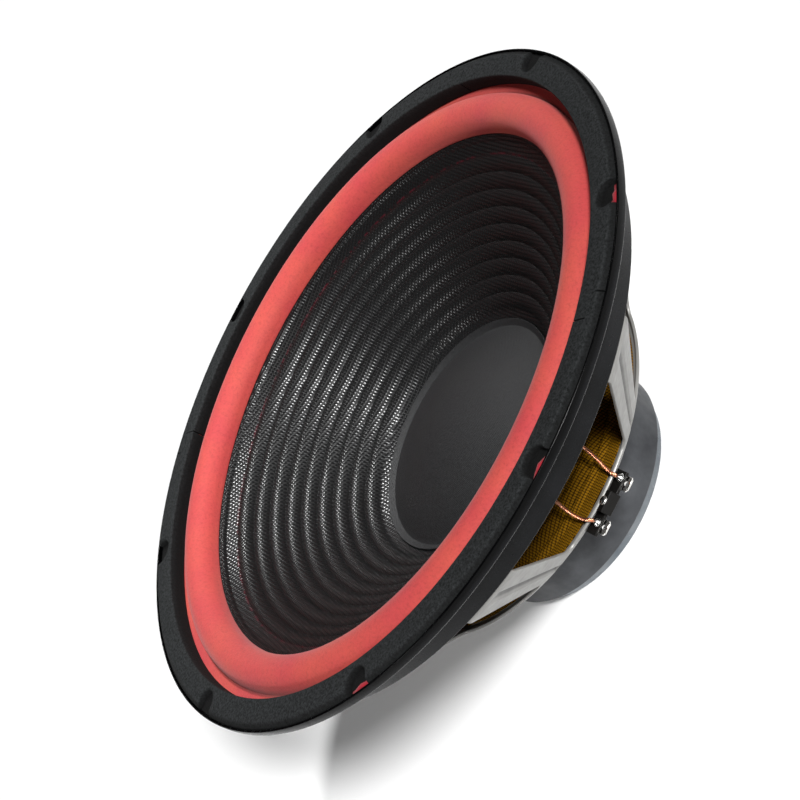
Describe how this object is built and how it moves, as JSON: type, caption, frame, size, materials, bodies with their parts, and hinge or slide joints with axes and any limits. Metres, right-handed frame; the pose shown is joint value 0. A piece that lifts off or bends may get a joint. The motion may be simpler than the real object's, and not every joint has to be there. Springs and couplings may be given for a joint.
{
  "type": "car subwoofer speaker",
  "caption": "Round car woofer with a ribbed black woven cone, red foam half-roll surround, segmented foam gasket, windowed steel basket and ferrite ring magnet.",
  "frame": {"origin": "centre of the back plate's rear face, which is the lowest face of the part", "axes": "+Z is the axis of the cone, pointing out of its front; +X passes through the terminal board and one screw notch"},
  "size_m": [0.3086, 0.3086, 0.1245],
  "materials": {
    "gasket_foam": "matte closed-cell foam",
    "surround_foam": "matte moulded foam",
    "cone_weave": "coated glossy weave",
    "cap_weave": "fine matte weave",
    "rim_paint": "satin black",
    "basket_paint": "satin silver grey",
    "spider_cloth": "resin-dipped open weave",
    "ferrite": "ground ferrite, painted",
    "zinc_plate": "bright zinc",
    "coil_former": "thin sheet",
    "coil_winding": "enamelled copper wire",
    "terminal_board": "black phenolic sheet",
    "tinned_steel": "tinned",
    "solder": "bright solder",
    "copper_braid": "braided copper"
  },
  "bodies": {
    "chassis": {"gasket_segment_1": "gasket_foam", "gasket_segment_2": "gasket_foam", "gasket_segment_3": "gasket_foam", "gasket_segment_4": "gasket_foam", "surround": "surround_foam", "spider": "spider_cloth", "rim_ring": "rim_paint", "basket": "basket_paint", "basket_rivet_1": "tinned_steel", "basket_rivet_2": "tinned_steel", "basket_rivet_3": "tinned_steel", "basket_rivet_4": "tinned_steel", "basket_rivet_5": "tinned_steel", "basket_rivet_6": "tinned_steel", "top_plate": "zinc_plate", "magnet": "ferrite", "yoke": "zinc_plate", "terminal_board": "terminal_board", "terminal_rivet": "tinned_steel", "terminal_tab_positive": "tinned_steel", "terminal_tab_negative": "tinned_steel", "solder_joint_positive": "solder", "solder_joint_negative": "solder", "tinsel_lead_positive": "copper_braid", "tinsel_lead_negative": "copper_braid"},
    "moving_assembly": {"cone": "cone_weave", "dust_cap": "cap_weave", "coil_former": "coil_former", "coil_winding": "coil_winding", "lead_eyelet_positive": "tinned_steel", "lead_eyelet_negative": "tinned_steel"}
  },
  "joints": [
    {"name": "cone_stroke", "type": "slide", "parent": "chassis", "child": "moving_assembly", "axis": [0, 0, 1], "range_m": [-0.006, 0.006], "stiffness_N_per_m": 4000, "deforming": ["surround", "spider", "tinsel_lead_positive", "tinsel_lead_negative"]}
  ]
}
